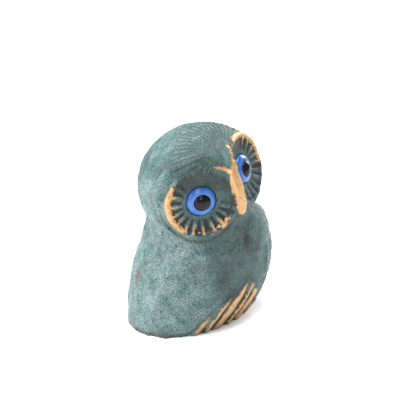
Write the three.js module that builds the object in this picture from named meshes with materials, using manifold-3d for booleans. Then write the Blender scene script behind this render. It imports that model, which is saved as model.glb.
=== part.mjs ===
import * as THREE from 'three';
import { mergeVertices } from 'three/addons/utils/BufferGeometryUtils.js';
import Module from 'manifold-3d';

// A small cast bronze owl with two glass eyes. Millimetres, Z up, origin on the flat underside.
// The body points along +X. The head is turned to the owl's right, towards -Y, and cocked.

// The body's profile from tail to breast, and half its width, at each height; it narrows forwards
const bodyHeights = [-6, 0, 5, 10, 15, 20, 25, 30, 36];
const bodyBack = [-15.6, -17.1, -17.3, -16.9, -16.4, -14.7, -12.3, -10.3, -8.5];
const bodyFront = [14.0, 17.9, 22.0, 24.3, 25.1, 25.0, 23.9, 21.7, 17.2];
const bodySide = [10.2, 11.4, 12.9, 13.8, 14.0, 13.8, 13.0, 11.8, 9.5];
const bodyTaper = 0.2;
const bodyTop = 33;
const shoulderRound = 6;
const neckRound = 2.6;

// The head: where it sits, how it is turned, tipped down and cocked, and its three half sizes
const headCentre = new THREE.Vector3(3.3, 0.6, 39.5);
const headTurn = 14;
const headTip = -8;
const headCock = 20;
const headHalf = new THREE.Vector3(16.7, 15.0, 15.6);

// The two face discs: place in the head, angle to each other, rim and shallow dish
const discAcross = 8.2;
const discUp = 0.0;
const discForward = 11.1;
const discSplay = 25;
const discRadius = 9.9;
const discThick = 7;
const discEdge = 2.2;
const discRound = 3.0;
const discFlare = 0.35;
const dishDepth = 1.3;
const dishMargin = 0.9;
const rimBead = 0.55;
const rimDepth = 0.45;
const spokeCount = 20;
const spokeHeight = 0.45;
const spokeInner = 4.4;

// The brow that arches over the disc on the owl's right
const browRadius = 11.3;
const browBead = 1.7;
const browDepth = 2.2;
const browRound = 2.0;

// The crest that runs from the forehead down the beak, by height in the head: how far forward and
// aside its ridge lies, and half its width
const crestUp = [-9.6, -8.4, -4.7, -1, 2.8, 6.5, 9.7, 11];
const crestForward = [12.5, 14.8, 16.7, 17.4, 17.4, 16.6, 14.8, 12.4];
const crestAside = [-0.3, -0.3, -0.1, 0, 0.3, 1.6, 3.4, 4.0];
const crestHalf = [0.3, 0.8, 1.2, 1.25, 1.2, 1.1, 0.9, 0.4];
const crestRoot = 8;

// Feather grooves on the forehead, which spread from the head of the crest
const featherRoot = new THREE.Vector3(0, 9.5, 12.5);
const featherCount = 46;
const featherDepth = 0.15;

// The wing's rear edge, the rim along the breast and the fan of feathers low on the breast side
const wingEdgeTop = new THREE.Vector2(-9.5, 23);
const wingEdgeFoot = new THREE.Vector2(-16, 4);
const wingStep = 0.55;
const breastRimX = 20.5;
const breastRimHeight = 0.4;
const breastRimWidth = 0.7;
const fanPitch = 3.1;
const fanDepth = 0.5;
const fanSlope = 57;
const fanReach = 1.6;
const fanEdgeX = [-5, -1, 5, 9, 13, 16, 19];
const fanEdgeHeight = [-1, 3.2, 8.0, 9.5, 11.5, 9.0, -1];

// The glass eyes and their sockets
const eyeRadius = 3.95;
const socketRadius = 4.25;
const socketFloor = -3.2;
const eyeFoot = -2.9;
const eyeShoulder = -1.25;
const eyeCrown = 0.1;
const pupilRadius = 2.1;
const pupilSeat = 2.4;
const pupilFoot = -0.9;
const pupilHole = -1.2;
const pupilCrown = 1.15;
const eyeSides = 28;

// How finely the casting is faceted, and how the facets gather on the face
const facetDetail = 19;
const faceGather = 0.42;
const heart = new THREE.Vector3(3, 0, 28);
const reach = 46;
const core = 6;

const clamp = (value, low, high) => Math.min(high, Math.max(low, value));
const radians = THREE.MathUtils.degToRad;

function smoothMin(a, b, round) {
  const mix = clamp(0.5 + 0.5 * (b - a) / round, 0, 1);
  return b * (1 - mix) + a * mix - round * mix * (1 - mix);
}

function smoothMax(a, b, round) {
  return -smoothMin(-a, -b, round);
}

function fade(value, low, high) {
  const t = clamp((value - low) / (high - low), 0, 1);
  return t * t * (3 - 2 * t);
}

// A smooth curve through values given at stations
function along(stations, values, at) {
  const last = stations.length - 1;
  const slope = (i) => {
    const before = Math.max(i - 1, 0);
    const after = Math.min(i + 1, last);
    return (values[after] - values[before]) / (stations[after] - stations[before]);
  };
  let i = 0;
  while (i < last - 1 && at > stations[i + 1]) i += 1;
  const span = stations[i + 1] - stations[i];
  const t = clamp((at - stations[i]) / span, 0, 1);
  const t2 = t * t;
  const t3 = t2 * t;
  return (2 * t3 - 3 * t2 + 1) * values[i] + (t3 - 2 * t2 + t) * span * slope(i)
    + (3 * t2 - 2 * t3) * values[i + 1] + (t3 - t2) * span * slope(i + 1);
}

// The head's own directions: to the owl's left, up and out through the face
const faceFlat = new THREE.Vector3(Math.sin(radians(headTurn)), -Math.cos(radians(headTurn)), 0);
const leftFlat = new THREE.Vector3(Math.cos(radians(headTurn)), Math.sin(radians(headTurn)), 0);
const headFront = faceFlat.clone().applyAxisAngle(leftFlat, radians(headTip));
const headLeft = leftFlat.clone().applyAxisAngle(headFront, radians(headCock));
const headUp = new THREE.Vector3(0, 0, 1).applyAxisAngle(leftFlat, radians(headTip))
  .applyAxisAngle(headFront, radians(headCock));

// Where a point lies seen from a face disc: across it, up it and out of it; side is -1 or 1
function onDisc(point, side) {
  const turn = radians(discSplay);
  const x = point.x - side * discAcross;
  const z = point.z - discForward;
  return {
    outward: side * x * Math.cos(turn) - z * Math.sin(turn),
    up: point.y - discUp,
    out: side * x * Math.sin(turn) + z * Math.cos(turn),
  };
}

function discPad(spot) {
  const widened = discFlare * Math.max(-spot.out - discEdge, 0);
  const radial = Math.hypot(spot.outward, spot.up) - (discRadius - discEdge) - widened;
  const depth = Math.abs(spot.out + discThick / 2) - (discThick / 2 - discEdge);
  const outside = Math.hypot(Math.max(radial, 0), Math.max(depth, 0));
  return Math.min(Math.max(radial, depth), 0) + outside - discEdge;
}

// The dish in a disc, with feather spokes over its outer and lower parts
function discDish(spot) {
  const radius = Math.hypot(spot.outward, spot.up);
  const angle = Math.atan2(spot.up, spot.outward);
  const feathered = fade(Math.cos(angle + radians(45)), -0.55, -0.1);
  const spoke = 0.5 + 0.5 * Math.cos(spokeCount * angle);
  const zone = fade(radius, spokeInner, spokeInner + 1.5);
  const floor = -dishDepth * (1 - (radius / discRadius) ** 2) + spokeHeight * spoke * zone * feathered;
  return Math.max(floor - spot.out, radius - discRadius + dishMargin);
}

function discRim(spot) {
  const radial = Math.hypot(spot.outward, spot.up) - discRadius + dishMargin;
  return Math.hypot(radial, spot.out + rimDepth) - rimBead;
}

function brow(spot) {
  const radius = Math.hypot(spot.outward, spot.up);
  const over = fade(spot.up / radius, 0.1, 0.7);
  return Math.hypot(radius - browRadius, spot.out + browDepth) - browBead * over;
}

function crest(point) {
  const top = along(crestUp, crestForward, point.y);
  const half = along(crestUp, crestHalf, point.y);
  const flank = Math.abs(point.x - along(crestUp, crestAside, point.y)) - half;
  const past = Math.max(point.y - crestUp[crestUp.length - 1], crestUp[0] - point.y);
  const front = point.z - top;
  const wall = smoothMax(smoothMax(front, flank * 0.95 + front * 0.25, 0.6), past, 0.6);
  return Math.max(wall, crestRoot - point.z);
}

function foreheadFeathers(point) {
  const root = featherRoot.clone().normalize();
  const away = point.angleTo(root);
  const where = fade(away, 0.15, 0.4) * fade(1.15 - away, 0, 0.35) * fade(point.y, 6, 9);
  const upward = new THREE.Vector3(0, 1, 0).addScaledVector(root, -root.y).normalize();
  const sideways = new THREE.Vector3().crossVectors(upward, root);
  const angle = Math.atan2(point.dot(sideways), point.dot(upward));
  return featherDepth * where * Math.cos(featherCount * angle);
}

function head(place) {
  const offset = place.clone().sub(headCentre);
  const point = new THREE.Vector3(offset.dot(headLeft), offset.dot(headUp), offset.dot(headFront));
  const scaled = point.clone().divide(headHalf);
  const near = scaled.length();
  let depth = near * (near - 1) / Math.max(scaled.divide(headHalf).length(), 1e-9);
  depth -= foreheadFeathers(point);
  const spots = [onDisc(point, -1), onDisc(point, 1)];
  for (const spot of spots) depth = smoothMin(depth, discPad(spot), discRound);
  depth = smoothMin(depth, brow(spots[0]), browRound);
  for (const spot of spots) {
    depth = smoothMax(depth, -discDish(spot), 0.6);
    depth = smoothMin(depth, discRim(spot), 0.6);
  }
  return smoothMin(depth, crest(point), 0.8);
}

// How far a point of the XZ plane lies behind the line from the foot to the top of the wing's edge
function behindWing(x, z) {
  const run = wingEdgeTop.clone().sub(wingEdgeFoot).normalize();
  return (wingEdgeFoot.x - x) * run.y + (z - wingEdgeFoot.y) * run.x;
}

function bodyCarving(point) {
  const flank = fade(Math.abs(point.y), 2, 6);
  const low = fade(point.z, 0, 3);
  const behind = fade(behindWing(point.x, point.z), -0.4, 0.5) * fade(26 - point.z, 0, 5);
  const rimZone = fade(point.z, 6, 12) * fade(24 - point.z, 0, 6);
  const rim = rimZone * Math.exp(-(((point.x - breastRimX) / breastRimWidth) ** 2));
  const slope = radians(fanSlope);
  const across = point.z * Math.cos(slope) - point.x * Math.sin(slope);
  const ridge = Math.cos(2 * Math.PI * across / fanPitch + 0.8 * Math.sin(across));
  const edge = along(fanEdgeX, fanEdgeHeight, point.x);
  const fan = fade(edge - point.z + fanReach * ridge, -0.3, 1.2) * (0.4 + 0.6 * ridge);
  return flank * (rim * breastRimHeight + fan * fanDepth) - low * behind * wingStep;
}

function body(point) {
  const back = along(bodyHeights, bodyBack, point.z);
  const front = along(bodyHeights, bodyFront, point.z);
  const side = along(bodyHeights, bodySide, point.z);
  const middle = (back + front) / 2;
  const half = (front - back) / 2;
  const ahead = (point.x - middle) / half;
  const ring = Math.hypot(ahead, point.y / side / (1 - bodyTaper * clamp(ahead, -1, 1)));
  const wall = (ring - 1) * Math.min(half, side) * 0.9 - bodyCarving(point);
  return smoothMax(wall, point.z - bodyTop, shoulderRound);
}

const owl = (point) => smoothMin(body(point), head(point), neckRound);

// The casting's skin, met by coming in from outside along a direction
function skinAlong(direction) {
  const point = new THREE.Vector3();
  const depthAt = (distance) => owl(point.copy(direction).multiplyScalar(distance).add(heart));
  const step = 0.7;
  let outer = reach;
  while (outer > core && depthAt(outer - step) > 0) outer -= step;
  let inner = outer - step;
  for (let turn = 0; turn < 22; turn += 1) {
    const middle = (inner + outer) / 2;
    if (depthAt(middle) < 0) inner = middle;
    else outer = middle;
  }
  depthAt(inner);
  return point.clone();
}

// Directions drawn together round the face, where the carving is finest
function gather(direction) {
  const face = headFront.clone().multiplyScalar(0.85).add(new THREE.Vector3(0, 0, 0.5)).normalize();
  const angle = direction.angleTo(face);
  const axis = face.clone().cross(direction);
  if (axis.length() < 1e-6) return direction;
  return face.applyAxisAngle(axis.normalize(), angle - faceGather * Math.sin(angle));
}

function bare(geometry) {
  geometry.deleteAttribute('normal');
  geometry.deleteAttribute('uv');
  return mergeVertices(geometry, 1e-5);
}

function skin() {
  const geometry = bare(new THREE.IcosahedronGeometry(1, facetDetail));
  const spots = geometry.attributes.position;
  const direction = new THREE.Vector3();
  for (let i = 0; i < spots.count; i += 1) {
    direction.fromBufferAttribute(spots, i).normalize();
    const place = skinAlong(gather(direction));
    spots.setXYZ(i, place.x, place.y, place.z);
  }
  return geometry;
}

const wasm = await Module();
wasm.setup();

function solid(geometry) {
  const vertProperties = new Float32Array(geometry.attributes.position.array);
  const triVerts = new Uint32Array(geometry.index.array);
  return new wasm.Manifold(new wasm.Mesh({ numProp: 3, vertProperties, triVerts }));
}

function shell(made) {
  const mesh = made.getMesh();
  const geometry = new THREE.BufferGeometry();
  geometry.setAttribute('position', new THREE.BufferAttribute(mesh.vertProperties, 3));
  geometry.setIndex(new THREE.BufferAttribute(mesh.triVerts, 1));
  geometry.computeVertexNormals();
  return geometry;
}

// Turns a shape that stands on a disc's own axis into its place on the owl
function toDisc(geometry, side) {
  const turn = radians(discSplay) * side;
  const out = headLeft.clone().multiplyScalar(Math.sin(turn)).addScaledVector(headFront, Math.cos(turn));
  const across = new THREE.Vector3().crossVectors(headUp, out);
  const place = headCentre.clone().addScaledVector(headLeft, side * discAcross)
    .addScaledVector(headUp, discUp).addScaledVector(headFront, discForward);
  const matrix = new THREE.Matrix4().makeBasis(across, headUp, out).setPosition(place);
  return geometry.applyMatrix4(matrix);
}

// A turned shape about the disc's axis, from pairs of radius and height
function turned(profile) {
  const geometry = new THREE.LatheGeometry(profile.map(([r, h]) => new THREE.Vector2(r, h)), eyeSides);
  return geometry.rotateX(Math.PI / 2);
}

// Points of a dome from its shoulder up to where it ends
function dome(fromRadius, fromHeight, toRadius, toHeight, steps) {
  const points = [];
  for (let i = 0; i <= steps; i += 1) {
    const angle = (i / steps) * Math.PI / 2;
    const radius = toRadius + (fromRadius - toRadius) * Math.cos(angle);
    points.push([radius, fromHeight + (toHeight - fromHeight) * Math.sin(angle)]);
  }
  return points;
}

function socket(side) {
  const cut = turned([[0, socketFloor], [socketRadius, socketFloor], [socketRadius, 4], [0, 4]]);
  return solid(bare(toDisc(cut, side)));
}

function material(colour, metalness, roughness) {
  return new THREE.MeshStandardMaterial({ color: colour, metalness, roughness });
}

function named(name, geometry, finish) {
  const mesh = new THREE.Mesh(geometry, finish);
  mesh.name = name;
  return mesh;
}

const bronze = material(0x6e9691, 0.35, 0.62);
const blueGlass = material(0x4b7dc8, 0, 0.12);
const blackGlass = material(0x08080c, 0, 0.06);

const ground = bare(new THREE.BoxGeometry(120, 120, 40).translate(0, 0, -20));
const casting = solid(skin()).subtract(solid(ground)).subtract(socket(-1)).subtract(socket(1));

const owlStatue = new THREE.Group();
owlStatue.add(named('owl_casting', shell(casting), bronze));

const irisProfile = [[0, eyeFoot], [eyeRadius, eyeFoot]]
  .concat(dome(eyeRadius, eyeShoulder, pupilSeat, eyeCrown, 5), [[pupilSeat, pupilHole], [0, pupilHole]]);
const pupilProfile = [[0, pupilFoot]].concat(dome(pupilRadius, pupilFoot + 0.9, 0, pupilCrown, 5));
pupilProfile.splice(1, 0, [pupilRadius, pupilFoot]);
for (const [name, side] of [['right', -1], ['left', 1]]) {
  owlStatue.add(named(`eye_${name}`, toDisc(turned(irisProfile), side), blueGlass));
  owlStatue.add(named(`pupil_${name}`, toDisc(turned(pupilProfile), side), blackGlass));
}

export default owlStatue;
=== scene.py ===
import math

import bpy
import numpy as np
from mathutils import Matrix, Vector


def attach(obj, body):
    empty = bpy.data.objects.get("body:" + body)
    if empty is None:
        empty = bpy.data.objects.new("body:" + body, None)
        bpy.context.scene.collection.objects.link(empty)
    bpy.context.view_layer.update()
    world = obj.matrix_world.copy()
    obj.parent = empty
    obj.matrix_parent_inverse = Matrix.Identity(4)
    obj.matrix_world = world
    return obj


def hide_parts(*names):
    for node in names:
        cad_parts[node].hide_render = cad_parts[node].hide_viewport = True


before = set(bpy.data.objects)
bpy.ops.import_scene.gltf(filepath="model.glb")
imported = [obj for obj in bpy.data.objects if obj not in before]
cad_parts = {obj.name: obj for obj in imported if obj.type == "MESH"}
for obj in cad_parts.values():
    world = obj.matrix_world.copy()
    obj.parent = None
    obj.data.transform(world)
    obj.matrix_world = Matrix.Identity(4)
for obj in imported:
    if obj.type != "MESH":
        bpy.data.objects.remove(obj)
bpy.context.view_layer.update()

# The owl is worked out in millimetres and brought to metres when a piece is done
metre = 0.001


def fade(value, low, high):
    t = np.clip((value - low) / (high - low), 0.0, 1.0)
    return t * t * (3.0 - 2.0 * t)


def softMin(a, b, rounding):
    mix = np.clip(0.5 + 0.5 * (b - a) / rounding, 0.0, 1.0)
    return b * (1 - mix) + a * mix - rounding * mix * (1 - mix)


def softMax(a, b, rounding):
    return -softMin(-a, -b, rounding)


def bell(value, width):
    return np.exp(-((value / width) ** 2))


def along(stations, values, at):
    # a smooth curve through values given at stations
    x = np.array(stations, float)
    y = np.array(values, float)
    slope = np.empty_like(y)
    slope[1:-1] = (y[2:] - y[:-2]) / (x[2:] - x[:-2])
    slope[0] = (y[1] - y[0]) / (x[1] - x[0])
    slope[-1] = (y[-1] - y[-2]) / (x[-1] - x[-2])
    i = np.clip(np.searchsorted(x, at) - 1, 0, len(x) - 2)
    span = x[i + 1] - x[i]
    t = np.clip((at - x[i]) / span, 0.0, 1.0)
    t2 = t * t
    t3 = t2 * t
    return ((2 * t3 - 3 * t2 + 1) * y[i] + (t3 - 2 * t2 + t) * span * slope[i]
            + (3 * t2 - 2 * t3) * y[i + 1] + (t3 - t2) * span * slope[i + 1])


def lumps(point, size, seed, octaves=2):
    # slow waves in all directions, summed: a smooth bumpiness without any grid
    rng = np.random.default_rng(seed)
    total = np.zeros(len(point))
    for octave in range(octaves):
        for wave in range(7):
            way = rng.normal(size=3)
            way /= np.linalg.norm(way)
            length = size / (1.9 ** octave) * rng.uniform(0.7, 1.4)
            phase = rng.uniform(0, 2 * math.pi)
            total += np.sin(point @ way * (2 * math.pi / length) + phase) / (1.8 ** octave)
    return total / 3.0


# The head: its own directions are left, up and front
headLook = {
    "centre": (3.3, 0.6, 39.5), "turn": 14, "tip": -8, "cock": 20,
    "halfSizes": (16.7, 15.0, 15.6), "neckRound": 2.6,
    "featherRoot": (3.0, 9.7, 14.0), "featherCount": 46, "featherDepth": 0.17,
}


def headWays():
    turn, tip, cock = (math.radians(headLook[k]) for k in ("turn", "tip", "cock"))
    faceFlat = Vector((math.sin(turn), -math.cos(turn), 0))
    leftFlat = Vector((math.cos(turn), math.sin(turn), 0))
    front = Matrix.Rotation(tip, 3, leftFlat) @ faceFlat
    up = Matrix.Rotation(cock, 3, front) @ (Matrix.Rotation(tip, 3, leftFlat) @ Vector((0, 0, 1)))
    left = Matrix.Rotation(cock, 3, front) @ leftFlat
    return left, up, front


headLeft, headUp, headFront = headWays()
headTurned = np.array([headLeft, headUp, headFront]).T


def inHead(point):
    return (point - np.array(headLook["centre"])) @ headTurned


# The two face discs, with rim, dish and spokes
discLook = {
    "across": 8.2, "up": 0.0, "forward": 11.1, "splay": 25, "radius": 9.9, "thick": 7,
    "edge": 2.2, "round": 3.0, "flare": 0.35, "dish": 1.3, "margin": 0.9, "rimBead": 0.55, "rimDepth": 0.45,
    "spokes": 20, "spokeHeight": 0.5, "spokeInner": 4.4,
    "browRadius": 11.3, "browBead": 1.7, "browDepth": 2.2, "browRound": 2.0,
}


def onDisc(local, side):
    turn = math.radians(discLook["splay"])
    x = local[:, 0] - side * discLook["across"]
    z = local[:, 2] - discLook["forward"]
    outward = side * x * math.cos(turn) - z * math.sin(turn)
    upward = local[:, 1] - discLook["up"]
    out = side * x * math.sin(turn) + z * math.cos(turn)
    return outward, upward, out


def discPad(spot):
    outward, upward, out = spot
    edge = discLook["edge"]
    half = discLook["thick"] / 2
    widened = discLook["flare"] * np.maximum(-out - edge, 0)
    radial = np.hypot(outward, upward) - (discLook["radius"] - edge) - widened
    depth = np.abs(out + half) - (half - edge)
    outside = np.hypot(np.maximum(radial, 0), np.maximum(depth, 0))
    return np.minimum(np.maximum(radial, depth), 0) + outside - edge


def discAngle(spot):
    return np.arctan2(spot[1], spot[0])


def spokeZone(spot):
    radius = np.hypot(spot[0], spot[1])
    feathered = fade(np.cos(discAngle(spot) + math.radians(45)), -0.55, -0.1)
    return fade(radius, discLook["spokeInner"], discLook["spokeInner"] + 1.5) * feathered


def spokeWave(spot):
    angle = discAngle(spot)
    wobble = 0.5 * np.sin(3.0 * angle + 1.0) + 0.4 * np.sin(7.0 * angle + spot[0])
    return 0.5 + 0.5 * np.cos(discLook["spokes"] * angle + wobble)


def discDish(spot):
    radius = np.hypot(spot[0], spot[1])
    floor = -discLook["dish"] * (1 - (radius / discLook["radius"]) ** 2)
    floor = floor + discLook["spokeHeight"] * spokeWave(spot) * spokeZone(spot)
    return np.maximum(floor - spot[2], radius - discLook["radius"] + discLook["margin"])


def rimAway(spot):
    radial = np.hypot(spot[0], spot[1]) - discLook["radius"] + discLook["margin"]
    return np.hypot(radial, spot[2] + discLook["rimDepth"])


def brow(spot):
    radius = np.hypot(spot[0], spot[1])
    over = fade(spot[1] / radius, 0.1, 0.7)
    away = np.hypot(radius - discLook["browRadius"], spot[2] + discLook["browDepth"])
    return away - discLook["browBead"] * over


# The crest from the forehead down the beak, and the frayed brow at its head
crestLook = {
    "up": (-9.6, -8.4, -4.7, -1, 2.8, 6.5, 9.7, 11),
    "forward": (12.5, 14.8, 16.7, 17.4, 17.4, 16.6, 14.8, 12.4),
    "aside": (-0.3, -0.3, -0.1, 0, 0.3, 1.6, 3.4, 4.0),
    "half": (0.3, 0.8, 1.2, 1.25, 1.2, 1.1, 0.9, 0.4),
    "root": 8.0,
}


def crestAside(local):
    return np.abs(local[:, 0] - along(crestLook["up"], crestLook["aside"], local[:, 1]))


def crestTop(local):
    return along(crestLook["up"], crestLook["forward"], local[:, 1])


def crest(local):
    half = along(crestLook["up"], crestLook["half"], local[:, 1])
    front = local[:, 2] - crestTop(local)
    flank = crestAside(local) - half
    past = np.maximum(local[:, 1] - crestLook["up"][-1], crestLook["up"][0] - local[:, 1])
    wall = softMax(softMax(front, flank * 0.95 + front * 0.25, 0.6), past, 0.6)
    return np.maximum(wall, crestLook["root"] - local[:, 2])


def foreheadFeathers(local):
    root = Vector(headLook["featherRoot"]).normalized()
    upward = (Vector((0, 1, 0)) - root * root.y).normalized()
    sideways = upward.cross(root)
    away = np.arccos(np.clip(local @ np.array(root) / np.linalg.norm(local, axis=1), -1, 1))
    where = fade(away, 0.12, 0.3) * fade(1.1 - away, 0, 0.35) * fade(local[:, 1], 5, 8)
    angle = np.arctan2(local @ np.array(sideways), local @ np.array(upward))
    return where * np.cos(headLook["featherCount"] * angle)


def head(point):
    local = inHead(point)
    sizes = np.array(headLook["halfSizes"])
    near = np.linalg.norm(local / sizes, axis=1)
    depth = near * (near - 1) / np.maximum(np.linalg.norm(local / sizes ** 2, axis=1), 1e-9)
    depth = depth - headLook["featherDepth"] * foreheadFeathers(local)
    spots = [onDisc(local, side) for side in (-1, 1)]
    for spot in spots:
        depth = softMin(depth, discPad(spot), discLook["round"])
    depth = softMin(depth, brow(spots[0]), discLook["browRound"])
    for spot in spots:
        depth = softMax(depth, -discDish(spot), 0.6)
        depth = softMin(depth, rimAway(spot) - discLook["rimBead"], 0.6)
    return softMin(depth, crest(local), 0.8)


# The body: its profile from tail to breast and half its width at each height, and its carving
bodyLook = {
    "heights": (-6, 0, 5, 10, 15, 20, 25, 30, 36),
    "back": (-15.6, -17.1, -17.3, -16.9, -16.4, -14.7, -12.3, -10.3, -8.5),
    "front": (14.0, 17.9, 22.0, 24.3, 25.1, 25.0, 23.9, 21.7, 17.2),
    "side": (10.2, 11.4, 12.9, 13.8, 14.0, 13.8, 13.0, 11.8, 9.5),
    "taper": 0.2, "top": 33, "shoulderRound": 6,
    "wingTop": (-9.5, 23), "wingFoot": (-16, 4), "wingStep": 0.55,
    "rimX": 20.5, "rimHeight": 0.4,
    "fanPitch": 3.1, "fanDepth": 0.5, "fanSlope": 57, "fanReach": 1.6,
    "fanEdgeX": (-5, -1, 5, 9, 13, 16, 19), "fanEdgeHeight": (-1, 3.2, 8.0, 9.5, 11.5, 9.0, -1),
}


def behindWing(point):
    topX, topZ = bodyLook["wingTop"]
    footX, footZ = bodyLook["wingFoot"]
    length = math.hypot(topX - footX, topZ - footZ)
    runX, runZ = (topX - footX) / length, (topZ - footZ) / length
    return (footX - point[:, 0]) * runZ + (point[:, 2] - footZ) * runX


def fanWave(point):
    slope = math.radians(bodyLook["fanSlope"])
    across = point[:, 2] * math.cos(slope) - point[:, 0] * math.sin(slope)
    return np.cos(2 * math.pi * across / bodyLook["fanPitch"] + 0.8 * np.sin(across))


def fanEdge(point):
    return along(bodyLook["fanEdgeX"], bodyLook["fanEdgeHeight"], point[:, 0])


def fanZone(point):
    return fade(fanEdge(point) - point[:, 2] + bodyLook["fanReach"] * fanWave(point), -0.3, 1.2)


def bodyCarving(point):
    flank = fade(np.abs(point[:, 1]), 2, 6)
    low = fade(point[:, 2], 0, 3)
    behind = fade(behindWing(point), -0.4, 0.5) * fade(26 - point[:, 2], 0, 5)
    rim = bell(point[:, 0] - bodyLook["rimX"], 0.7) * fade(point[:, 2], 6, 12) * fade(24 - point[:, 2], 0, 6)
    fan = fanZone(point) * (0.4 + 0.6 * fanWave(point))
    raised = flank * (rim * bodyLook["rimHeight"] + fan * bodyLook["fanDepth"])
    return raised - low * behind * bodyLook["wingStep"]


def body(point):
    heights = bodyLook["heights"]
    back, front, side = (along(heights, bodyLook[k], point[:, 2]) for k in ("back", "front", "side"))
    half = (front - back) / 2
    ahead = (point[:, 0] - (back + front) / 2) / half
    ring = np.hypot(ahead, point[:, 1] / side / (1 - bodyLook["taper"] * np.clip(ahead, -1, 1)))
    wall = (ring - 1) * np.minimum(half, side) * 0.9 - bodyCarving(point)
    return softMax(wall, point[:, 2] - bodyLook["top"], bodyLook["shoulderRound"])


# Fine relief of the cast surface: soft lumps, grain and pits, fine feather lines below the face, a dimple
# below the beak and a rough scar on the tail
reliefLook = {
    "lump": 0.10, "lumpSize": 7.0, "grain": 0.045, "grainSize": 1.3, "pits": 0.10, "pitSize": 2.4,
    "linePitch": 1.25, "lineDepth": 0.07, "lineBend": 0.012, "lineTop": 31, "spotHeight": 1.6,
    "dimple": (12.4, -11.0, 25.0), "dimpleSize": 2.0, "dimpleDepth": 0.5,
    "scar": (-17.2, -1.5, 17.0), "scarSize": 2.6, "scarDepth": 0.35, "scarLump": 1.8,
}


def neckLines(point):
    x, z = point[:, 0], point[:, 2]
    across = x - reliefLook["lineBend"] * (z - 10) ** 2 + 0.35 * np.sin(0.5 * z + 0.3 * x)
    patch = fade(lumps(point, 8.0, 21), -0.3, 0.5)
    where = fade(x, 5, 11) * fade(z, 17, 23) * fade(reliefLook["lineTop"] - z, 0, 3)
    where = where * fade(np.abs(point[:, 1]), 3, 8)
    return np.cos(2 * math.pi * across / reliefLook["linePitch"]) * where * (0.35 + 0.65 * patch)


def spotted(point, place, size):
    away = (point - np.array(place)) / np.array([size, size, size * reliefLook["spotHeight"]])
    return np.exp(-np.sum(away ** 2, axis=1))


def relief(point):
    look = reliefLook
    soft = lumps(point, look["lumpSize"], 3) * look["lump"]
    grain = lumps(point, look["grainSize"], 5, 3) * look["grain"]
    pits = fade(lumps(point, look["pitSize"], 9, 3), 0.45, 1.1) * look["pits"]
    lines = neckLines(point) * look["lineDepth"]
    scar = spotted(point, look["scar"], look["scarSize"]) * lumps(point, look["scarLump"], 13)
    dimple = spotted(point, look["dimple"], look["dimpleSize"]) * look["dimpleDepth"]
    return soft + grain + lines + scar * look["scarDepth"] - pits - dimple


def owl(point):
    return softMin(body(point), head(point), headLook["neckRound"]) - relief(point)


skinLook = {
    "heart": (3, 0, 28), "reach": 46, "core": 6, "step": 0.8, "halvings": 14,
    "levels": 7, "gather": 0.42, "faceRise": 0.5, "facePull": 0.85, "smoothAngle": 50,
}


def skinPlaces(ways):
    # each direction from the owl's heart is followed inwards from outside until it meets the skin
    heart = np.array(skinLook["heart"], float)
    outer = np.full(len(ways), float(skinLook["reach"]))
    waiting = np.arange(len(ways))
    while len(waiting):
        nextIn = outer[waiting] - skinLook["step"]
        air = owl(heart + ways[waiting] * nextIn[:, None]) > 0
        air &= nextIn > skinLook["core"]
        waiting = waiting[air]
        outer[waiting] -= skinLook["step"]
    inner = outer - skinLook["step"]
    for halving in range(skinLook["halvings"]):
        middle = (inner + outer) / 2
        inside = owl(heart + ways * middle[:, None]) < 0
        inner = np.where(inside, middle, inner)
        outer = np.where(inside, outer, middle)
    return heart + ways * ((inner + outer) / 2)[:, None]


def gathered(ways):
    # directions drawn together round the face, where the carving is finest
    face = np.array(headFront) * skinLook["facePull"] + np.array([0, 0, skinLook["faceRise"]])
    face /= np.linalg.norm(face)
    angle = np.arccos(np.clip(ways @ face, -1, 1))
    aside = ways - (ways @ face)[:, None] * face
    aside /= np.maximum(np.linalg.norm(aside, axis=1, keepdims=True), 1e-9)
    angle = angle - skinLook["gather"] * np.sin(angle)
    return np.cos(angle)[:, None] * face + np.sin(angle)[:, None] * aside


def deselectAll():
    for item in bpy.context.selected_objects:
        item.select_set(False)


def meshPoints(mesh):
    flat = np.empty(len(mesh.vertices) * 3)
    mesh.vertices.foreach_get("co", flat)
    return flat.reshape(-1, 3)


def finishPiece(piece, name, node, finish):
    piece.name = name
    piece.data.name = name
    piece.data.materials.clear()
    piece.data.materials.append(finish)
    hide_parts(node)
    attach(piece, "root")


def discMatrix(side):
    turn = math.radians(discLook["splay"]) * side
    out = headLeft * math.sin(turn) + headFront * math.cos(turn)
    across = headUp.cross(out)
    place = Vector(headLook["centre"]) + headLeft * side * discLook["across"]
    place += headUp * discLook["up"] + headFront * discLook["forward"]
    return Matrix.Translation(place) @ Matrix((across, headUp, out)).transposed().to_4x4()


# The glass eyes: blue rings with a seat for the black pupils, and their sockets
eyeLook = {
    "radius": 3.95, "socket": 4.15, "socketFloor": -3.2, "foot": -2.9, "shoulder": -1.25, "crown": 0.1,
    "pupilRadius": 2.15, "pupilSeat": 2.25, "pupilHole": -1.2, "pupilFoot": -0.9, "pupilCrown": 1.15,
    "pupilRise": 0.9, "socketMouth": 4, "steps": 96, "domeSteps": 14, "merge": 0.0005, "smoothAngle": 35,
}


def domeProfile(fromRadius, fromHeight, toRadius, toHeight):
    steps = eyeLook["domeSteps"]
    turns = [i / steps * math.pi / 2 for i in range(steps + 1)]
    return [(toRadius + (fromRadius - toRadius) * math.cos(t),
             fromHeight + (toHeight - fromHeight) * math.sin(t)) for t in turns]


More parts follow.
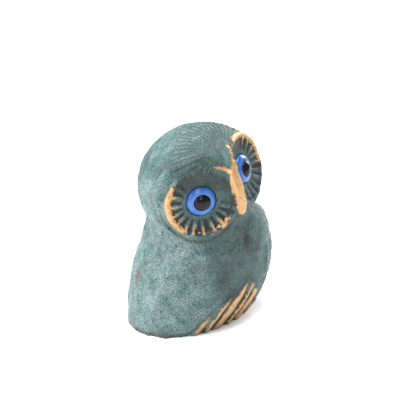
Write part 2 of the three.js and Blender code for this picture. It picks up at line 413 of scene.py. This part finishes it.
def spun(name, profile, side):
    # a profile of radius and height, spun about the axis of an eye
    deselectAll()
    mesh = bpy.data.meshes.new(name)
    mesh.from_pydata([(r, 0, h) for r, h in profile], [(i, i + 1) for i in range(len(profile) - 1)], [])
    piece = bpy.data.objects.new(name, mesh)
    bpy.context.collection.objects.link(piece)
    piece.select_set(True)
    bpy.context.view_layer.objects.active = piece
    bpy.ops.object.mode_set(mode="EDIT")
    bpy.ops.mesh.select_all(action="SELECT")
    bpy.ops.mesh.spin(steps=eyeLook["steps"], angle=2 * math.pi, center=(0, 0, 0), axis=(0, 0, 1))
    bpy.ops.mesh.select_all(action="SELECT")
    bpy.ops.mesh.remove_doubles(threshold=eyeLook["merge"])
    bpy.ops.mesh.normals_make_consistent(inside=False)
    bpy.ops.object.mode_set(mode="OBJECT")
    mesh.transform(discMatrix(side))
    bpy.ops.object.shade_smooth_by_angle(angle=math.radians(eyeLook["smoothAngle"]))
    return piece


def owlCasting(finish):
    deselectAll()
    bpy.ops.mesh.primitive_cube_add(size=2)
    piece = bpy.context.active_object
    bpy.ops.object.mode_set(mode="EDIT")
    for level in range(skinLook["levels"]):
        bpy.ops.mesh.subdivide(number_cuts=1)
    bpy.ops.object.mode_set(mode="OBJECT")
    mesh = piece.data
    spots = np.tan(meshPoints(mesh) * math.pi / 4)
    ways = spots / np.linalg.norm(spots, axis=1, keepdims=True)
    places = skinPlaces(gathered(ways))
    mesh.vertices.foreach_set("co", places.ravel())
    mesh.update()
    # the underside is cut off flat
    bpy.ops.object.mode_set(mode="EDIT")
    bpy.ops.mesh.select_all(action="SELECT")
    bpy.ops.mesh.bisect(plane_co=(0, 0, 0), plane_no=(0, 0, 1), use_fill=True, clear_inner=True)
    bpy.ops.mesh.select_all(action="SELECT")
    bpy.ops.mesh.normals_make_consistent(inside=False)
    bpy.ops.object.mode_set(mode="OBJECT")
    print("casting drawn:", len(mesh.polygons), "faces")
    e = eyeLook
    well = [(0, e["socketFloor"]), (e["socket"], e["socketFloor"])]
    well += [(e["socket"], e["socketMouth"]), (0, e["socketMouth"])]
    for side in (-1, 1):
        cutter = spun("socket", well, side)
        deselectAll()
        piece.select_set(True)
        bpy.context.view_layer.objects.active = piece
        cut = piece.modifiers.new("socket", "BOOLEAN")
        cut.operation = "DIFFERENCE"
        cut.object = cutter
        cut.solver = "EXACT"
        bpy.ops.object.modifier_apply(modifier=cut.name)
        bpy.data.objects.remove(cutter)
    mesh = piece.data
    keepMasks(mesh)
    mesh.transform(Matrix.Scale(metre, 4))
    bpy.ops.object.shade_smooth_by_angle(angle=math.radians(skinLook["smoothAngle"]))
    finishPiece(piece, "owl_bronze", "owl_casting", finish)
    print("casting finished:", len(mesh.polygons), "faces")


# Where hands have rubbed the bronze bright; where the patina lies dark in the hollows, with painted shade
# under the brows, below the rims, round the beak root and in the dimple; where the patina is pale with dust
# and painted sheen along the outline and crown, with painted shade in the middle; and where it has gone
# brown. The rim and brow limits are angles round a disc, in degrees.
maskLook = {
    "nearRim": (-126, 57), "farRim": (-20, 118), "rimWidth": 1.0, "rimBlur": 6, "spokeGold": 0.8,
    "browLine": (124, 172), "browLineRadius": (9.9, 12.0), "browLineWidth": (0.25, 1.0), "browGold": 0.9,
    "crestFoot": -8.2, "crestHead": 10.4, "crestFray": 1.3,
    "crestUp": (-9, -5, 0, 4, 7, 10), "crestWidth": (1.3, 1.8, 2.0, 1.6, 0.9, 0.5),
    # strengths of the dark marks; those for the dish under the brow, below the rim, round the beak root and
    # in the dimple are painted shade
    "browShade": 0.6, "seam": 0.8, "rimShadow": 0.6, "behind": 0.4, "forehead": 0.65, "crestShade": 0.8,
    "fanRoot": 0.55, "wingEdge": 0.25, "lines": 0.6, "dimple": 0.75,
    # the pale marks: a base level, a pale share that is partly dust and partly painted sheen at the outline
    # and crown, painted shade in the middle of the body, and random clouds
    "dustAndSheen": 0.42, "paleDustAndSheen": 0.32, "middleShade": 0.27, "dustCloud": 0.10, "rustFoot": 0.8,
}


def discBright(spot, limits):
    angle = np.degrees(discAngle(spot))
    middle, half = sum(limits) / 2, (limits[1] - limits[0]) / 2
    turn = np.abs((angle - middle + 180) % 360 - 180)
    blur = maskLook["rimBlur"]
    lit = fade(half + blur - turn, 0, 2 * blur)
    radius = np.hypot(spot[0], spot[1])
    rim = fade(maskLook["rimWidth"] - rimAway(spot), 0, 0.25) * lit * (spot[2] > -1.4)
    onFloor = (np.abs(spot[2]) < 2.2) & (radius < discLook["radius"] - 1.0)
    outer = 0.35 + 0.65 * fade(radius, 5.5, 8.2)
    spokes = fade(spokeWave(spot), 0.62, 0.95) * spokeZone(spot) * lit * onFloor * outer
    return np.maximum(rim, spokes * maskLook["spokeGold"])


def browLine(spot):
    angle = np.degrees(discAngle(spot))
    low, high = maskLook["browLine"]
    share = np.clip((angle - low) / (high - low), 0, 1)
    near, far = maskLook["browLineRadius"]
    thin, broad = maskLook["browLineWidth"]
    away = np.abs(np.hypot(spot[0], spot[1]) - near - (far - near) * share ** 1.5)
    inside = fade(angle, low, low + 8) * (angle < high + 8) * (np.abs(spot[2]) < 8)
    return fade(thin + (broad - thin) * share - away, -0.1, 0.25) * inside


def crestBright(local, point):
    front = local[:, 2] - crestTop(local)
    foot = maskLook["crestFoot"]
    frayed = local[:, 1] + maskLook["crestFray"] * lumps(point, 1.8, 11)
    face = fade(front, -1.7, -1.1) * fade(local[:, 1], foot, foot + 0.8)
    face = face * fade(maskLook["crestHead"] - frayed, 0, 0.8)
    width = along(maskLook["crestUp"], maskLook["crestWidth"], local[:, 1])
    return face * fade(width - crestAside(local), 0, 0.4)


def brightMask(point):
    local = inHead(point)
    near, far = onDisc(local, -1), onDisc(local, 1)
    bright = np.maximum(discBright(near, maskLook["nearRim"]), discBright(far, maskLook["farRim"]))
    bright = np.maximum(bright, browLine(near) * maskLook["browGold"])
    bright = np.maximum(bright, crestBright(local, point))
    fan = fanZone(point) * fade(fanWave(point), -0.5, 0.05) * (point[:, 1] < -2) * (point[:, 2] > 0.3)
    return np.maximum(bright, fan)


def discHollowAndShade(spot):
    # dark patina in the valleys between the spokes; darker at the seam by the rim and behind the disc;
    # painted shade in the upper dish under the brow and towards the beak, and a painted shadow below the rim
    m = maskLook
    radius = np.hypot(spot[0], spot[1])
    past = radius - discLook["radius"]
    inDish = (np.abs(spot[2]) < 2.4) & (past < -0.7)
    valley = fade(0.6 - spokeWave(spot), 0, 0.4) * spokeZone(spot)
    # painted shade in the dish under the brow and towards the beak
    browShade = fade(spot[1] - spot[0] * 0.4, -1, 5) * m["browShade"]
    seam = bell(past + 1.9, 0.45) * (np.abs(spot[2]) < 2.0) * m["seam"]
    # painted shadow below the rim
    rimShadow = bell(past - 1.0, 0.9) * fade(-spot[1], -2, 4) * (np.abs(spot[2] + 2) < 3)
    behind = bell(past - 2.4, 1.3) * bell(spot[2] + 4.6, 2.4) * m["behind"]
    return np.maximum.reduce([inDish * np.maximum(valley, browShade), seam, rimShadow * m["rimShadow"], behind])


def hollowAndShadeMask(point):
    m = maskLook
    local = inHead(point)
    discs = [discHollowAndShade(onDisc(local, side)) for side in (-1, 1)]
    forehead = fade(-foreheadFeathers(local), 0.1, 0.8) * m["forehead"]
    # painted shade round the root of the beak
    crestRootShade = fade(0.9 - np.abs(local[:, 2] - crestTop(local) + 2.6), 0, 0.9) * (np.abs(local[:, 1]) < 10)
    crestRootShade = crestRootShade * fade(2.6 - crestAside(local), 0, 0.8) * m["crestShade"]
    fan = fanZone(point) * fade(-fanWave(point), 0.2, 0.7) * (point[:, 1] < 0)
    fanRoot = fade(1.8 - np.abs(fanEdge(point) + 1.6 - point[:, 2]), 0, 1.8) * (point[:, 1] < -2)
    edge = bell(behindWing(point) - 0.2, 0.6) * (point[:, 2] < 24) * (np.abs(point[:, 1]) > 3)
    lines = fade(-neckLines(point), 0.15, 0.8) * m["lines"]
    # painted shade in the dimple below the beak
    dimple = spotted(point, reliefLook["dimple"], reliefLook["dimpleSize"]) * m["dimple"]
    fanned = [fan, fanRoot * m["fanRoot"], edge * m["wingEdge"]]
    return np.maximum.reduce(discs + [forehead, crestRootShade] + fanned + [lines, dimple])


def dustAndSheenMask(point):
    # pale dusty patina together with painted sheen on the tail, the back of the head, the crown and the
    # breast, so the outline and the top come out lighter; painted shade darkens the middle of the body
    m = maskLook
    local = inHead(point)
    tail = fade(behindWing(point), -1.0, 1.0) * (point[:, 2] < 28)
    lobe = fade(-local[:, 0], 11, 15)
    crown = fade(local[:, 1], 11, 14.5)
    breast = fade(point[:, 0], 15, 21) * (point[:, 2] < 33)
    nape = bell(point[:, 2] - 30, 3.5) * fade(3 - point[:, 0], 0, 8)
    # pale: partly dust, partly painted sheen along the outline and on the crown
    pale = np.maximum.reduce([tail * 0.8, lobe, crown * 0.8, breast * 0.7, nape * 0.7])
    # painted shade in the middle of the body
    shadeInMiddle = bell(point[:, 0] - 5, 7) * bell(point[:, 2] - 14, 12)
    return m["dustAndSheen"] + pale * m["paleDustAndSheen"] - shadeInMiddle * m["middleShade"] + m["dustCloud"] * lumps(point, 5.0, 17)


def rustMask(point):
    foot = fade(2.2 - point[:, 2], 0, 2.0) * fade(2 - point[:, 0], 0, 6)
    foot = foot * fade(lumps(point, 3.0, 25), -0.2, 0.5)
    scar = spotted(point, reliefLook["scar"], reliefLook["scarSize"])
    return np.maximum(foot * maskLook["rustFoot"], scar)


def keepMasks(mesh):
    point = meshPoints(mesh)
    masks = {"bright": brightMask, "hollowAndShade": hollowAndShadeMask, "dustAndSheen": dustAndSheenMask, "rust": rustMask}
    for name, mask in masks.items():
        layer = mesh.attributes.new(name, "FLOAT", "POINT")
        layer.data.foreach_set("value", np.clip(mask(point), 0, 1).astype(np.float32))


# Materials
class Socket:
    # wraps an output, so that Python's own operators add Math nodes
    def __init__(self, kit, link):
        self.kit = kit
        self.link = link

    def join(self, operation, other, swapped=False):
        first, second = (other, self) if swapped else (self, other)
        return self.kit.node("ShaderNodeMath", {"operation": operation}, {0: first, 1: second})

    def __add__(self, other):
        return self.join("ADD", other)

    def __radd__(self, other):
        return self.join("ADD", other, True)

    def __sub__(self, other):
        return self.join("SUBTRACT", other)

    def __rsub__(self, other):
        return self.join("SUBTRACT", other, True)

    def __mul__(self, other):
        return self.join("MULTIPLY", other)

    def __rmul__(self, other):
        return self.join("MULTIPLY", other, True)

    def __truediv__(self, other):
        return self.join("DIVIDE", other)

    def step(self, low, high):
        # from 0 below low to 1 above high
        settings = {"interpolation_type": "SMOOTHSTEP"}
        inputs = {"Value": self, "From Min": low, "From Max": high}
        return self.kit.node("ShaderNodeMapRange", settings, inputs)


class Finish:
    def __init__(self, name):
        self.material = bpy.data.materials.new(name)
        self.material.use_nodes = True
        self.tree = self.material.node_tree
        self.tree.nodes.clear()
        self.place = self.node("ShaderNodeTexCoord", {}, {}, "Object")
        inputs = {0: self.place, "Scale": 1 / metre}
        self.mm = self.node("ShaderNodeVectorMath", {"operation": "SCALE"}, inputs)

    def node(self, kind, settings, inputs, output=0):
        made = self.tree.nodes.new(kind)
        for key, value in settings.items():
            setattr(made, key, value)
        for key, value in inputs.items():
            if isinstance(value, Socket):
                self.tree.links.new(value.link, made.inputs[key])
            else:
                made.inputs[key].default_value = value
        return Socket(self, made.outputs[output]) if len(made.outputs) else None

    def mask(self, name):
        return self.node("ShaderNodeAttribute", {"attribute_name": name}, {}, "Fac")

    def noise(self, scale, detail, roughness, shift=0.0):
        # the shift keeps two patterns of the same kind from lying on one another
        place = self.mm
        if shift:
            place = self.node("ShaderNodeMapping", {}, {"Vector": self.mm, "Location": (shift, shift, shift)})
        inputs = {"Vector": place, "Scale": scale, "Detail": detail, "Roughness": roughness}
        return self.node("ShaderNodeTexNoise", {}, inputs)

    def blendColours(self, amount, first, second):
        made = self.tree.nodes.new("ShaderNodeMix")
        made.data_type = "RGBA"
        for socket, value in ((made.inputs[0], amount), (made.inputs[6], first), (made.inputs[7], second)):
            if isinstance(value, Socket):
                self.tree.links.new(value.link, socket)
            else:
                socket.default_value = value
        return Socket(self, made.outputs[2])

    def surface(self, inputs):
        shader = self.node("ShaderNodeBsdfPrincipled", {}, inputs)
        self.node("ShaderNodeOutputMaterial", {}, {"Surface": shader})
        return self.material


def colour(red, green, blue):
    # a colour as seen on a screen, 0 to 255, made linear
    def linear(value):
        share = value / 255
        return share / 12.92 if share <= 0.04045 else ((share + 0.055) / 1.055) ** 2.4
    return (linear(red), linear(green), linear(blue), 1.0)


patinaLook = {
    "pale": colour(112, 136, 136), "teal": colour(64, 99, 96), "deep": colour(32, 54, 55),
    "dark": colour(15, 19, 20), "brown": colour(84, 60, 46), "greyBlue": colour(84, 98, 106),
    "green": colour(50, 90, 80), "gold": colour(186, 150, 106), "goldDeep": colour(108, 74, 46),
    "roughness": 0.58, "goldRoughness": 0.34, "grain": 0.25, "goldMetal": 0.8,
    "blotchScale": 0.8, "speckScale": 3.0, "gritScale": 6.5, "cloudScale": 0.22, "mossScale": 0.7,
    "bump": 0.8, "bumpDepth": 0.0003,
}


def patinatedBronze():
    look = patinaLook
    f = Finish("patinatedBronze")
    blotch = f.noise(look["blotchScale"], 6, 0.7, 7.0)
    speck = f.noise(look["speckScale"], 6, 0.75, 3.0)
    grit = f.noise(look["gritScale"], 3, 0.65, 11.0)
    cloud = f.noise(look["cloudScale"], 3, 0.5, 31.0)
    moss = f.noise(look["mossScale"], 4, 0.6, 43.0)
    dustAndSheen, hollowAndShade, rub, rust = (f.mask(name) for name in ("dustAndSheen", "hollowAndShade", "bright", "rust"))
    # this mask lightens the outline and crown with dust and painted sheen, and darkens the middle of the body
    # with painted shade
    tone = dustAndSheen * 0.55 + blotch * 0.45 + (speck - 0.5) * 0.8 + (grit - 0.5) * 0.3
    base = f.blendColours((tone - 0.30) * 4.0, look["deep"], look["teal"])
    base = f.blendColours(((tone - 0.52) * 4.5).step(0.0, 1.0), base, look["pale"])
    base = f.blendColours(cloud.step(0.5, 0.68) * 0.45, base, look["greyBlue"])
    base = f.blendColours(moss.step(0.54, 0.68) * 0.5, base, look["green"])
    base = f.blendColours(speck.step(0.50, 0.42) * 0.85, base, look["dark"])
    base = f.blendColours(grit.step(0.57, 0.66) * 0.6, base, look["dark"])
    base = f.blendColours(grit.step(0.41, 0.33) * 0.45, base, look["pale"])
    base = f.blendColours((rust * 1.6 - blotch * 0.6).step(0.1, 0.7) * 0.85, base, look["brown"])
    # dark patina in the grooves, plus painted shade under the brows, below the rims, round the beak root and
    # in the dimple
    base = f.blendColours((hollowAndShade * 1.25 - speck * 0.45).step(0.05, 0.75) * 0.92, base, look["dark"])
    worn = (rub * 1.3 + (speck - 0.5) * 1.8 + (blotch - 0.5) * 0.8).step(0.50, 0.74)
    shine = (speck * 0.6 + blotch * 0.4 + rub * 0.2).step(0.52, 0.70)
    gold = f.blendColours(shine, look["goldDeep"], look["gold"])
    tint = f.blendColours(worn, base, gold)
    smoother = look["roughness"] - look["goldRoughness"]
    rough = look["roughness"] - worn * smoother + (grit - 0.5) * look["grain"]
    height = speck * 0.55 + grit * 0.35 + blotch * 0.4 - worn * 0.2
    inputs = {"Strength": look["bump"], "Distance": look["bumpDepth"], "Height": height}
    bump = f.node("ShaderNodeBump", {}, inputs)
    metal = worn * look["goldMetal"]
    return f.surface({"Base Color": tint, "Metallic": metal, "Roughness": rough, "Normal": bump})


glassLook = {
    "blue": (colour(46, 88, 156), colour(60, 106, 170)), "blueRoughness": 0.14, "blueGloss": 0.4,
    "black": (colour(8, 8, 14), colour(16, 14, 24)), "blackRoughness": 0.05, "blackGloss": 0.2,
}


def blueGlass():
    look = glassLook
    f = Finish("blueGlass")
    tint = f.blendColours(f.noise(0.5, 2, 0.5).step(0.35, 0.65), *look["blue"])
    gloss = {"Roughness": look["blueRoughness"], "Specular IOR Level": look["blueGloss"]}
    return f.surface({"Base Color": tint, **gloss})


def blackGlass():
    look = glassLook
    f = Finish("blackGlass")
    tint = f.blendColours(f.noise(0.8, 2, 0.5).step(0.4, 0.6), *look["black"])
    gloss = {"Roughness": look["blackRoughness"], "Specular IOR Level": look["blackGloss"]}
    return f.surface({"Base Color": tint, **gloss})


def glassEyes(blue, black):
    e = eyeLook
    ring = [(0, e["foot"]), (e["radius"], e["foot"])]
    ring += domeProfile(e["radius"], e["shoulder"], e["pupilSeat"], e["crown"])
    ring += [(e["pupilSeat"], e["pupilHole"]), (0, e["pupilHole"])]
    plug = [(0, e["pupilFoot"]), (e["pupilRadius"], e["pupilFoot"])]
    plug += domeProfile(e["pupilRadius"], e["pupilFoot"] + e["pupilRise"], 0, e["pupilCrown"])
    parts = (("eye", ring, "blue_glass", blue), ("pupil", plug, "black_glass", black))
    for name, side in (("right", -1), ("left", 1)):
        for kind, profile, slotName, finish in parts:
            piece = spun(kind, profile, side)
            piece.data.transform(Matrix.Scale(metre, 4))
            finishPiece(piece, kind + "_glass_" + name, kind + "_" + name, finish)
    print("eyes made")


# Studio: pale floor, soft light all round and the camera where the photographer stood
studioLook = {
    "azimuth": -25, "elevation": 22, "distance": 300, "pixelsPerMm": 3.68, "imageSize": 400,
    "footX": 188, "footY": 314, "planeAt": 8.0, "sensor": 36,
    "clip": (0.01, 20), "floorSize": 6, "floorPale": 0.94, "floorRoughness": 0.9,
    "ambient": 0.55, "aim": (0, 0, 0.03),
    "lights": (("overhead", (-0.05, 0.05, 0.6), 0.5, 5.5), ("leftPanel", (-0.45, 0.05, 0.22), 0.35, 3.0),
               ("rightPanel", (0.40, 0.22, 0.22), 0.35, 2.2), ("frontPanel", (-0.15, -0.5, 0.35), 0.25, 0.9)),
}


def cameraWays():
    azimuth, elevation = (math.radians(studioLook[k]) for k in ("azimuth", "elevation"))
    level = math.cos(elevation)
    back = Vector((math.sin(azimuth) * level, -math.cos(azimuth) * level, math.sin(elevation)))
    right = Vector((math.cos(azimuth), math.sin(azimuth), 0))
    return right, back.cross(right), back


def addCamera():
    s = studioLook
    right, up, back = cameraWays()
    nearer = s["distance"] / (s["distance"] + s["planeAt"])
    dx = (s["imageSize"] / 2 - s["footX"]) / s["pixelsPerMm"] / nearer
    dy = (s["footY"] - s["imageSize"] / 2) / s["pixelsPerMm"] / nearer
    aim = right * dx + up * dy + back * s["planeAt"]
    data = bpy.data.cameras.new("studioCamera")
    data.sensor_width = s["sensor"]
    data.lens = s["sensor"] * s["distance"] * s["pixelsPerMm"] / s["imageSize"]
    data.clip_start, data.clip_end = s["clip"]
    camera = bpy.data.objects.new("studioCamera", data)
    bpy.context.collection.objects.link(camera)
    turned = Matrix((right, up, back)).transposed().to_4x4()
    camera.matrix_world = Matrix.Translation((aim + back * s["distance"]) * metre) @ turned
    bpy.context.scene.camera = camera


def addLight(name, place, aim, size, power):
    data = bpy.data.lights.new(name, "AREA")
    data.shape = "DISK"
    data.size = size
    data.energy = power
    light = bpy.data.objects.new(name, data)
    bpy.context.collection.objects.link(light)
    light.location = place
    light.rotation_euler = (Vector(aim) - Vector(place)).to_track_quat("-Z", "Y").to_euler()


def addFloor():
    s = studioLook
    deselectAll()
    bpy.ops.mesh.primitive_plane_add(size=s["floorSize"])
    floor = bpy.context.active_object
    floor.name = "floor"
    pale = s["floorPale"]
    inputs = {"Base Color": (pale, pale, pale, 1), "Roughness": s["floorRoughness"]}
    floor.data.materials.append(Finish("paleFloor").surface(inputs))


def addStudio():
    addFloor()
    world = bpy.data.worlds.new("studio")
    world.use_nodes = True
    background = world.node_tree.nodes["Background"]
    background.inputs["Color"].default_value = (1, 1, 1, 1)
    background.inputs["Strength"].default_value = studioLook["ambient"]
    bpy.context.scene.world = world
    for name, place, size, power in studioLook["lights"]:
        addLight(name, place, studioLook["aim"], size, power)
    bpy.context.scene.view_settings.view_transform = "Standard"
    addCamera()
    print("studio set")


owlCasting(patinatedBronze())
glassEyes(blueGlass(), blackGlass())
addStudio()
